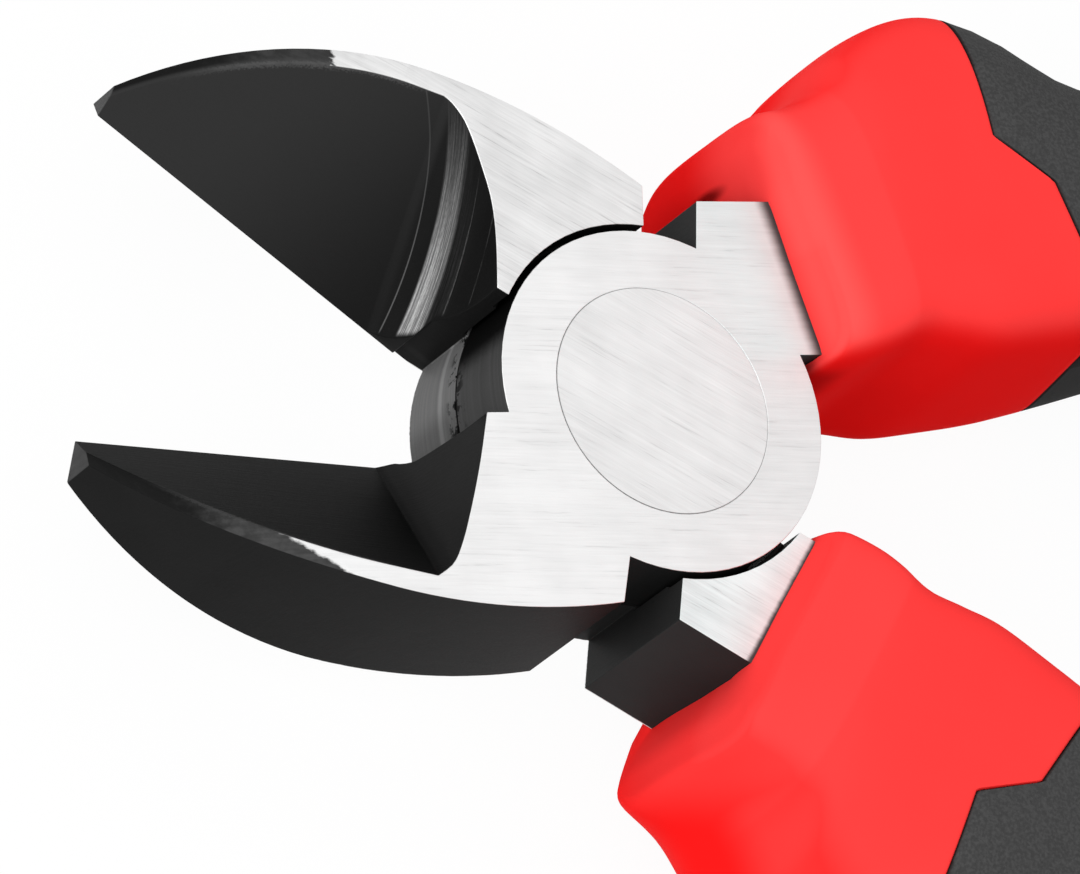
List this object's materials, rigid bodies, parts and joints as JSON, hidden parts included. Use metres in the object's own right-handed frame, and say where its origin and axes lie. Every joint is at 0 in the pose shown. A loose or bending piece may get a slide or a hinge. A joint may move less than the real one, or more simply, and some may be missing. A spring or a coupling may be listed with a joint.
{
  "type": "side cutters",
  "caption": "Diagonal side cutters: crossing forged levers on a riveted lap joint, bevelled cutting jaws, and hard-and-soft moulded handle grips with thumb guards.",
  "frame": {"origin": "on the rivet's axis, at the back face of the head", "axes": "+X from the rivet along the tool's middle line towards the handles, +Z out of the front face along the rivet's axis"},
  "size_m": [0.1701, 0.1214, 0.0189],
  "materials": {
    "lever_steel": "brushed bright on the front face, black oxide elsewhere",
    "rivet_steel": "ground flush, fine brush lines",
    "grip_red": "satin moulded",
    "grip_dark": "matt, fine moulded grain"
  },
  "bodies": {
    "front_half": {"front_lever": "lever_steel", "front_grip_sleeve": "grip_red", "front_grip_cover": "grip_dark"},
    "rear_half": {"rear_lever": "lever_steel", "pivot_rivet": "rivet_steel", "rear_grip_sleeve": "grip_red", "rear_grip_cover": "grip_dark"}
  },
  "joints": [
    {"name": "pivot", "type": "hinge", "parent": "front_half", "child": "rear_half", "pos_m": [0, 0, 0], "axis": [0, 0, 1], "range_deg": [-15, 33.3]}
  ]
}
